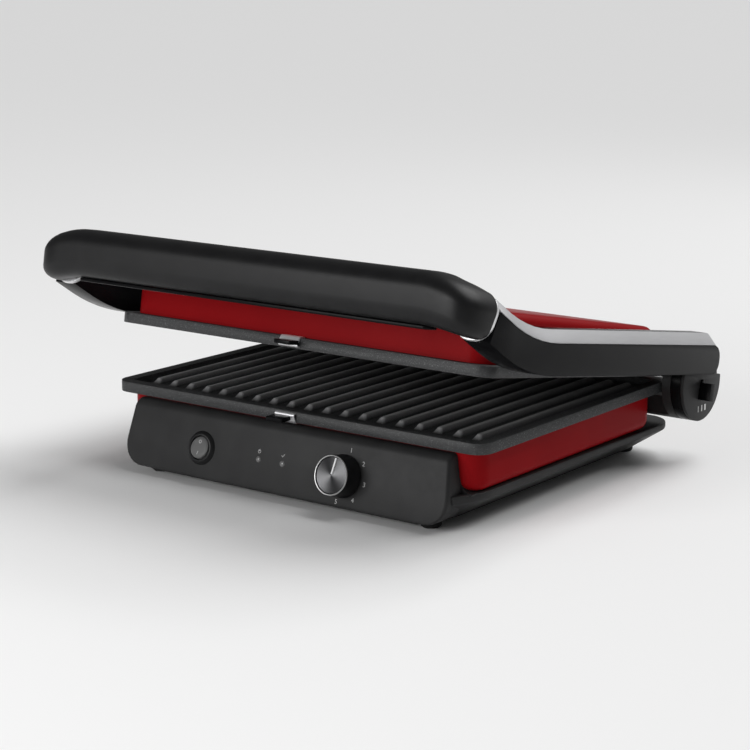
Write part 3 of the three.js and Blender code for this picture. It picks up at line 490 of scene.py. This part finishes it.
# A tray standing on its rolled floor, open on top. The fall raises the floor's back edge.
def oneTray(height, fall=0):
    bm = newBlock((panLow.x, panLow.y, 0), (panHigh.x, panHigh.y, height), housing["corner"], 10)
    floor = facing(bm, (0, 0, -1))
    roundEdges(bm, [edge for face in floor for edge in face.edges], housing["roll"], 6)
    bmesh.ops.delete(bm, geom=facing(bm, (0, 0, 1)), context="FACES")
    if fall:
        low = [vert for vert in bm.verts if vert.co.z < height / 2]
        lean = Matrix.Identity(4)
        lean[2][1] = fall / (panHigh.y - panLow.y)
        bmesh.ops.transform(bm, matrix=lean, verts=low, space=Matrix.Translation(
            (0, -panLow.y, 0)))
    bmesh.ops.recalc_face_normals(bm, faces=bm.faces)
    bmesh.ops.solidify(bm, geom=bm.faces[:], thickness=housing["sheet"])
    return bm


makePiece("lower_housing_pressed", oneTray(panHigh.z - panLow.z), "base", "red_paint",
          ["lower_red_housing"], Matrix.Translation((0, 0, panLow.z)))


# The wall with the hinge's ears comes from the CAD shape, cut off just inside the tray's walls.
def upperTray():
    tray = oneTray(housing["upperFront"], housing["upperFront"] - housing["upperBack"])
    roof = upperFace + plateThick + housing["gap"] + housing["upperFront"]
    turned = Matrix.Translation((0, 0, roof)) @ Matrix.Rotation(math.pi, 4, "Y")
    bmesh.ops.transform(tray, matrix=turned, verts=tray.verts)
    skin = housing["earSkin"]
    for point, normal in (((0, panHigh.y - skin, 0), (0, -1, 0)),
                          ((panHigh.x - skin, 0, 0), (-1, 0, 0)),
                          ((panLow.x + skin, 0, 0), (1, 0, 0))):
        ears = copyOfNode("upper_red_housing")
        bmesh.ops.transform(ears, matrix=lidRest.inverted(), verts=ears.verts)
        cutAcross(ears, point, normal, True)
        addCopies(tray, ears, [Matrix()])
    return tray


makePiece("upper_housing_pressed", upperTray(), "upper_housing", "red_paint",
          ["upper_red_housing"], lidRest)
print("housings pressed")


# The silver strip goes on round each arm's rear corner.
tail = {"outer": 191, "inner": 183.2, "rise": 35.2, "drop": 8.3, "end": 275, "corner": 12,
        "reach": 10.2, "steps": 10, "overlap": 1.2}


# A wedge that carries the strip on behind the arm's straight part and down its round corner.
def stripTail():
    start = tail["end"] - tail["corner"]
    top = plateTop + tail["rise"]
    bm = newOutline([(tail["inner"], start - tail["overlap"], top),
                     (tail["inner"], start - tail["overlap"], top - tail["drop"]),
                     (tail["outer"], start - tail["overlap"], top - tail["drop"])])
    pushOut(bm, (0, tail["reach"] + tail["overlap"], 0))
    for i in range(tail["steps"]):
        cutAcross(bm, (0, start + i * tail["reach"] / tail["steps"], 0), (0, 1, 0))
    for vert in bm.verts:
        beyond = max(0, vert.co.y - start)
        vert.co.z -= tail["corner"] - math.sqrt(tail["corner"] ** 2 - beyond ** 2)
    return bm


for side, turn in (("right", Matrix()), ("left", mirrorX)):
    makePiece("arm_strip_tail_" + side, stripTail(), "lid", "satin_steel", (), lidRest @ turn,
              stripPaint)


# The grip is one bar across the front, cut off where it seats on the arms.
grip = {"front": -66.8, "back": -32.8, "level": 112.8, "height": 34.4, "round": 12,
        "facets": 8, "bendX": 161, "pivotY": -30.8, "halfWidth": 29.8, "square": 3.6,
        "arc": 30, "tail": 12, "dipFrom": 12, "dip": 11.7, "dipPower": 1.9, "shrink": 0.16,
        "outShare": 0.65, "fineCut": 1, "coarseCut": 3,
        "seatY": -38.3, "seatLevel": 104.4, "slope": 24}


# Past bendX the straight bar turns back in a squarish quarter round and falls towards the arm.
def turnedBack(vert):
    along = abs(vert.co.x) - grip["bendX"]
    path = (along + grip["dipFrom"]) / (grip["arc"] + grip["dipFrom"])
    if along > 0:
        depth = grip["pivotY"] - grip["front"]
        turn = min(1, along / grip["arc"]) * math.pi / 2
        power = grip["square"]
        reach = ((math.sin(turn) / grip["halfWidth"]) ** power
                 + (abs(math.cos(turn)) / depth) ** power) ** (-1 / power)
        reach *= (grip["pivotY"] - vert.co.y) / depth
        side = 1 if vert.co.x > 0 else -1
        out = reach * math.sin(turn)
        vert.co.x = side * (grip["bendX"] + out)
        vert.co.y = grip["pivotY"] - reach * math.cos(turn) + max(0, along - grip["arc"])
        outPath = (out + grip["dipFrom"]) / (grip["halfWidth"] + grip["dipFrom"])
        path += grip["outShare"] * (outPath - path)
    fall = max(0, path) ** grip["dipPower"]
    rise = (vert.co.z - grip["level"]) * (1 - grip["shrink"] * min(1, fall))
    vert.co.z = grip["level"] + rise - grip["dip"] * fall


def gripBar():
    half, end = grip["height"] / 2, grip["bendX"] + grip["arc"] + grip["tail"]
    bar = newBlock((-end, grip["front"], grip["level"] - half),
                   (end, grip["back"], grip["level"] + half))
    roundEdges(bar, edgesAlong(bar, 0), grip["round"], grip["facets"])
    fine, coarse = grip["fineCut"], grip["coarseCut"]
    cuts = [*range(-coarse, grip["arc"] + fine, fine), *range(-grip["dipFrom"], -coarse, coarse)]
    for x in cuts:
        for side in (-1, 1):
            cutAcross(bar, (side * (grip["bendX"] + x), 0, 0), (1, 0, 0))
    for vert in bar.verts:
        turnedBack(vert)
    bmesh.ops.recalc_face_normals(bar, faces=bar.faces)
    slope = math.radians(grip["slope"])
    seat = (0, grip["seatY"], grip["seatLevel"])
    cutAcross(bar, seat, (0, math.cos(slope), -math.sin(slope)), True)
    return bar


makePiece("grip_bar", gripBar(), "lid", "satin_black", ["handle_grip"], lidRest)
print("grip shaped")


# The base is one moulding: control panel, tub, coves and rear tower.
base = {"footHalf": 147, "topHalf": 141, "crestLevel": 53.2, "lobe": 20, "crest": 6,
        "edge": 2.6, "back": 5.7, "panelDepth": 40,
        "tubHalf": 156, "tubFront": -6, "flareY": 14, "flareHalf": 146, "flareRound": 12,
        "rear": 278, "rearCorner": 22, "lip": 5, "bottomHalf": 131, "tuck": 9, "deck": 26,
        "rim": 3.2, "recess": 2.3,
        "coveInner": 144, "coveOuter": 153, "coveBack": 14, "coveTop": 36, "coveRound": 8,
        "coveFront": 6, "lift": 1.4,
        "towerHalf": 97, "towerDepth": 25, "towerTop": 49.8, "towerGap": 4}
shellLow, shellHigh = benchBox("base_shell")


def onFront(x, level):
    return (x, knobPlace.y + (level - knobPlace.z) * math.tan(panelLean), level)


# The control panel: leaning face, rolled crest, big rounded lower corners.
def panelBlock():
    low, top = shellLow.z + base["lift"], min(shellHigh.z, base["crestLevel"])
    bm = newOutline([onFront(-base["footHalf"], low), onFront(base["footHalf"], low),
                     onFront(base["topHalf"], top), onFront(-base["topHalf"], top)])
    roundCorners(bm, [vert for vert in bm.verts if vert.co.z < low + 1], base["lobe"], 10)
    pushOut(bm, (0, base["panelDepth"], 0))
    cutAcross(bm, (0, base["back"], 0), (0, 1, 0), True)
    crest = [edge for edge in edgesAlong(bm, 0) if edge.verts[0].co.z > top - 0.1
             and edge.verts[0].co.y < base["back"] - 1]
    roundEdges(bm, crest, base["crest"], 8)
    soften(bm, base["edge"], 3, 50, lambda edge: min(v.co.y for v in edge.verts) < 5)
    return bm


# The tub: flares out of the panel's sides, has a short upright lip, then falls away inwards.
def tubBlock():
    low, half = shellLow.z, base["tubHalf"]
    bm = newOutline([(-half, base["rear"], low), (-half, base["flareY"], low),
                     (-base["flareHalf"], base["tubFront"], low),
                     (base["flareHalf"], base["tubFront"], low), (half, base["flareY"], low),
                     (half, base["rear"], low)])
    bm.verts.ensure_lookup_table()
    roundCorners(bm, [bm.verts[1], bm.verts[4]], base["flareRound"], 8)
    roundCorners(bm, [v for v in bm.verts if v.co.y > base["rear"] - 1], base["rearCorner"], 10)
    pushOut(bm, (0, 0, base["deck"] - low))
    cutAcross(bm, (0, 0, base["deck"] - base["lip"]), (0, 0, 1))
    foot = [vert for vert in bm.verts if vert.co.z < low + 1]
    deep = base["rear"] - base["tubFront"]
    narrow = (base["bottomHalf"] / half, (deep - base["tuck"]) / deep, 1)
    bmesh.ops.scale(bm, vec=narrow, verts=foot,
                    space=Matrix.Translation((0, -base["tubFront"], 0)))
    floor = facing(bm, (0, 0, -1))
    bmesh.ops.inset_region(bm, faces=floor, thickness=base["rim"], use_even_offset=True)
    bmesh.ops.inset_region(bm, faces=floor, thickness=0.3, depth=-base["recess"],
                           use_even_offset=True)
    soften(bm, 1.4, 3, 38)
    return bm


# A hollow quarter round eases the panel's side into the tub's deck.
def cove():
    inner, outer, deck = base["coveInner"], base["coveOuter"], base["deck"]
    points = [(inner - 4, deck - 1), (outer, deck - 1), (outer, deck + 0.2), (inner, deck + 0.2),
              (inner - 0.6, base["coveTop"]), (inner - 4, base["coveTop"])]
    bm = newOutline([(x, base["coveFront"], z) for x, z in points])
    bm.verts.ensure_lookup_table()
    roundCorners(bm, [bm.verts[3]], base["coveRound"], 8)
    pushOut(bm, (0, base["coveBack"] - base["coveFront"], 0))
    return bm


# The rear tower stands on the deck behind the housing.
def towerBlock():
    half, front = base["towerHalf"], panHigh.y + base["towerGap"]
    bm = newBlock((-half, front, base["deck"] - 2),
                  (half, front + base["towerDepth"], base["towerTop"]), 4, 4)
    soften(bm, 1.6, 3, 50)
    return bm


baseSkin = panelBlock()
addCopies(baseSkin, tubBlock(), [Matrix()])
addCopies(baseSkin, cove(), [Matrix(), mirrorX])
addCopies(baseSkin, towerBlock(), [Matrix()])
makePiece("base_moulding", baseSkin, "base", "matt_black", ["base_shell"])

foot = {"outline": ((0, 0), (5.8, 0), (6.9, 0.9), (7.2, 2), (7.2, 3.9), (3, 3.9), (3, 7.2),
                    (0, 7.2))}
for i in range(1, 5):
    low, high = benchBox(f"foot_{i}")
    middle = (low + high) / 2
    makePiece(f"foot_{i}_turned", lathe(foot["outline"], 40), "base", "rubber", [f"foot_{i}"],
              Matrix.Translation((middle.x, middle.y, low.z)))
print("base moulded")


# The controls are drawn in the panel's own plane.
control = {"numberRadius": 18.4, "numberSize": 4.6, "firstAngle": 10, "stepAngle": 45,
           "pointerAngle": -10, "ink": 0.1, "numbers": 5, "rockerSunk": 1.6}
knob = {"body": ((0, 13.2), (12.5, 13.2), (12.7, 14.5), (13.3, 14.9), (14.0, 14.4), (14.5, 4),
                 (15, 3), (15, 0.9), (14.6, 0.5), (3.4, 0.5), (3.4, 12), (0, 12)),
        "rim": ((12.9, 14.5), (13.1, 15.0), (13.5, 15.1), (13.9, 14.8), (13.9, 14.4),
                (13.3, 14.2)),
        "face": ((0, 14.25), (12.4, 14.25), (12.7, 14.0), (12.7, 13.3), (0, 13.3)),
        "pointer": ((-0.6, 0.8, 14.1), (0.6, 12.3, 14.7))}
bezel = {"ring": ((8.6, -2.5), (12.3, -0.5), (12.3, 0.2), (10.9, 1.8), (10.5, 2.0),
                  (10.3, 2.35), (10.0, 2.5), (9.1, 2.5), (8.7, 2.2), (8.6, 1.6))}
rocker = {"disc": ((0, 2.45), (5.5, 2.4), (7.3, 2.2), (7.85, 1.8), (8, 1.2), (8, -2.4),
                   (0, -2.4)),
          "ring": (1.25, 0.85), "stroke": (0.45, 2.4, -12), "markOut": 4.1, "markLevel": 2.46}
lamp = {"dome": ((0, 0.85), (1.3, 0.75), (1.9, 0.45), (2.2, 0), (2.2, -2.6), (0, -2.6))}


def panelSpot(x, y=0, z=0):
    return onPanel @ Matrix.Translation((x, y, z))


knobSpot = panelSpot(knobPlace.x)
makePiece("knob_turned", lathe(knob["body"], 64), "knob", "satin_black", ["knob_body"], knobSpot)
makePiece("knob_rim", lathe(knob["rim"], 64, True), "knob", "satin_steel", (), knobSpot)
makePiece("knob_face_spun", lathe(knob["face"], 64), "knob", "spun_metal", ["knob_face"],
          knobSpot)
pointer = newBlock(*knob["pointer"])
soften(pointer, 0.15, 2)
makePiece("knob_pointer_line", pointer, "knob", "white_inlay", ["knob_pointer"],
          knobSpot @ Matrix.Rotation(math.radians(control["pointerAngle"]), 4, "Z"))

switchX = jointPlace("power_rocker_tilt").x
makePiece("switch_ring", lathe(bezel["ring"], 64, True), "base", "satin_black",
          ["switch_bezel"], panelSpot(switchX))
rockerTilt = math.radians(joints["power_rocker_tilt"]["range_deg"][1]) / 2
rockerSpot = (panelSpot(switchX, 0, 2.4 - control["rockerSunk"])
              @ Matrix.Rotation(-rockerTilt, 4, "X"))
makePiece("rocker_turned", lathe(rocker["disc"], 64), "rocker", "grey_plastic",
          ["power_rocker"], rockerSpot)


def ringMark(outer, inner):
    ink = control["ink"]
    return lathe(((inner, -ink), (outer, -ink), (outer, ink), (inner, ink)), 32, True)


def barMark(width, height, turn=0):
    ink = control["ink"]
    bm = newBlock((-width / 2, -height / 2, -ink), (width / 2, height / 2, ink))
    bmesh.ops.rotate(bm, matrix=Matrix.Rotation(math.radians(turn), 3, "Z"), verts=bm.verts)
    return bm


rockerMarks = ringMark(*rocker["ring"])
bmesh.ops.translate(rockerMarks, vec=(0, rocker["markOut"], 0), verts=rockerMarks.verts)
addCopies(rockerMarks, barMark(*rocker["stroke"]),
          [Matrix.Translation((0, -rocker["markOut"], 0))])
makePiece("rocker_marks", rockerMarks, "rocker", "white_inlay", (),
          rockerSpot @ Matrix.Translation((0, 0, rocker["markLevel"])), inkPaint)

lampXs = [sum((benchBox(node)[i].x for i in (0, 1))) / 2 for node in ("lens_power", "lens_ready")]
for node, x in zip(("lens_power", "lens_ready"), lampXs):
    makePiece(node + "_dome", lathe(lamp["dome"], 32), "base", "lens", [node], panelSpot(x))

# Each stroke: its lamp, its place beside the icon's middle, its length and its turn.
icon = {"rise": 5.6, "ring": (1.3, 1.0), "width": 0.32,
        "strokes": ((0, 0, 0.9, 1.7, 0), (1, -0.85, -0.25, 1.3, 45), (1, 0.4, 0.2, 2.6, -40))}
icons = ringMark(*icon["ring"])
bmesh.ops.translate(icons, vec=(lampXs[0], icon["rise"], 0), verts=icons.verts)
for i, x, y, length, turn in icon["strokes"]:
    addCopies(icons, barMark(icon["width"], length, turn),
              [Matrix.Translation((lampXs[i] + x, icon["rise"] + y, 0))])
makePiece("lamp_icons", icons, "base", "white_inlay", (), onPanel, inkPaint)


def numberMesh(words):
    text = bpy.data.curves.new("number", "FONT")
    text.body, text.size, text.extrude = words, control["numberSize"], control["ink"]
    text.align_x, text.align_y = "CENTER", "CENTER"
    holder = bpy.data.objects.new("number", text)
    mesh = bpy.data.meshes.new_from_object(holder)
    bm = bmesh.new()
    bm.from_mesh(mesh)
    bpy.data.objects.remove(holder)
    bpy.data.meshes.remove(mesh)
    return bm


numbers = bmesh.new()
for i in range(control["numbers"]):
    turn = math.radians(control["firstAngle"] + i * control["stepAngle"])
    spot = (control["numberRadius"] * math.sin(turn), control["numberRadius"] * math.cos(turn), 0)
    addCopies(numbers, numberMesh(str(i + 1)), [Matrix.Translation(spot)])
makePiece("dial_numbers", numbers, "base", "white_inlay", (), knobSpot, inkPaint)
print("controls made")


# The release clips are drawn at the plate's front edge, the cooking face at z = 0.
clip = {"bend": ((3.0, -0.9), (0.4, -0.75), (-1.6, -0.9), (-2.5, -1.8), (-2.6, -2.9),
                 (-2.0, -4.6), (-1.5, -6.0), (-0.7, -7.6), (0.6, -8.5), (5.6, -8.5)),
        "columns": (-8.5, 0, 8.5), "sheet": 0.9,
        "tab": ((-9.3, -12.2, -5.9), (5.3, -1.4, -2.9))}


def bentClip():
    bm = bmesh.new()
    first = clip["columns"][0]
    points = [bm.verts.new((first, y, z)) for y, z in clip["bend"]]
    edges = [bm.edges.new(two) for two in zip(points, points[1:])]
    for before, after in zip(clip["columns"], clip["columns"][1:]):
        made = bmesh.ops.extrude_edge_only(bm, edges=edges)
        moved = [item for item in made["geom"] if isinstance(item, bmesh.types.BMVert)]
        edges = [item for item in made["geom"] if isinstance(item, bmesh.types.BMEdge)
                 and all(vert in moved for vert in item.verts)]
        bmesh.ops.translate(bm, vec=(after - before, 0, 0), verts=moved)
    bmesh.ops.recalc_face_normals(bm, faces=bm.faces)
    bmesh.ops.solidify(bm, geom=bm.faces[:], thickness=clip["sheet"])
    return bm


def clipTab():
    bm = newBlock(*clip["tab"], 1.2, 4)
    soften(bm, 0.5, 3, 50)
    return bm


clipSpot = {"lower": Matrix.Translation((0, 0, plateTop)), "upper": turnOver}
for level, spot in clipSpot.items():
    body = level + "_clip"
    makePiece(level + "_clip_bent", bentClip(), body, "chrome", [level + "_release_clip"], spot,
              crease=50)
    makePiece(level + "_tab_moulded", clipTab(), body, "gloss_black", [level + "_release_tab"],
              spot)
print("clips bent")


# Height marks on the right hinge cap.
marks = {"places": ((-4.7, 0.8), (0.7, 1.6), (5.8, 2.4)), "drop": 19.6, "height": 4.6}
capFace = benchBox("hinge_cap_right")[1].x
markSkin = bmesh.new()
for y, width in marks["places"]:
    mark = newBlock((-control["ink"], -width / 2, -marks["height"] / 2),
                    (control["ink"], width / 2, marks["height"] / 2))
    spot = (capFace, hinge.y + y, hinge.z - marks["drop"])
    addCopies(markSkin, mark, [Matrix.Translation(spot)])
makePiece("height_marks", markSkin, "lid", "white_inlay", (), Matrix(), inkPaint)
print("marks inked")


# Floor, lights and camera.
def addLight(name, place, aim, size, power):
    light = bpy.data.lights.new(name, "AREA")
    light.shape, light.size, light.size_y, light.energy = "RECTANGLE", size[0], size[1], power
    holder = bpy.data.objects.new(name, light)
    bpy.context.scene.collection.objects.link(holder)
    holder.location = place
    holder.rotation_euler = (Vector(aim) - Vector(place)).to_track_quat("-Z", "Y").to_euler()


studio = {"floorRadius": 60, "floorTone": 0.86, "worldTone": 0.9, "worldPower": 0.15,
          "sunPower": 2.6, "sunSpread": 50, "sunTilt": (-28, 18, 0),
          "panels": {"backTop": ((0.5, 1.5, 1.15), (0.1, 0, 0.1), (1.8, 1.0), 5),
                     "frontLeft": ((-0.6, -1.9, 0.62), (0, 0, 0.08), (1.3, 0.7), 20)}}
floorMesh = bmesh.new()
bmesh.ops.create_circle(floorMesh, cap_ends=True, radius=studio["floorRadius"], segments=64)
floorData = bpy.data.meshes.new("floor")
floorMesh.to_mesh(floorData)
floorMesh.free()
floor = bpy.data.objects.new("floor", floorData)
bpy.context.scene.collection.objects.link(floor)
tone = studio["floorTone"]
floorData.materials.append(plastic("paleFloor", (tone, tone, tone), (tone, tone, tone), 0.7, 0))

world = bpy.data.worlds.new("studio")
bpy.context.scene.world = world
world.use_nodes = True
backdrop = world.node_tree.nodes["Background"]
backdrop.inputs["Color"].default_value = (*[studio["worldTone"]] * 3, 1)
backdrop.inputs["Strength"].default_value = studio["worldPower"]
sun = bpy.data.lights.new("sky", "SUN")
sun.energy, sun.angle = studio["sunPower"], math.radians(studio["sunSpread"])
sky = bpy.data.objects.new("sky", sun)
bpy.context.scene.collection.objects.link(sky)
sky.rotation_euler = [math.radians(turn) for turn in studio["sunTilt"]]
for name, (place, aim, size, power) in studio["panels"].items():
    addLight(name, place, aim, size, power)
bpy.context.scene.view_settings.view_transform = "Standard"

shot = {"place": (0.8784, -1.185, 0.3918), "azimuth": 36.9, "elevation": 12.4, "lens": 97.6,
        "sensor": 36}
lens = bpy.data.cameras.new("camera")
lens.lens, lens.sensor_width = shot["lens"], shot["sensor"]
lens.clip_start, lens.clip_end = 0.01, 100
camera = bpy.data.objects.new("camera", lens)
bpy.context.scene.collection.objects.link(camera)
camera.location = shot["place"]
azimuth, elevation = math.radians(shot["azimuth"]), math.radians(shot["elevation"])
camera.rotation_euler = (math.pi / 2 - elevation, 0, azimuth)
bpy.context.scene.camera = camera
print("studio lit")
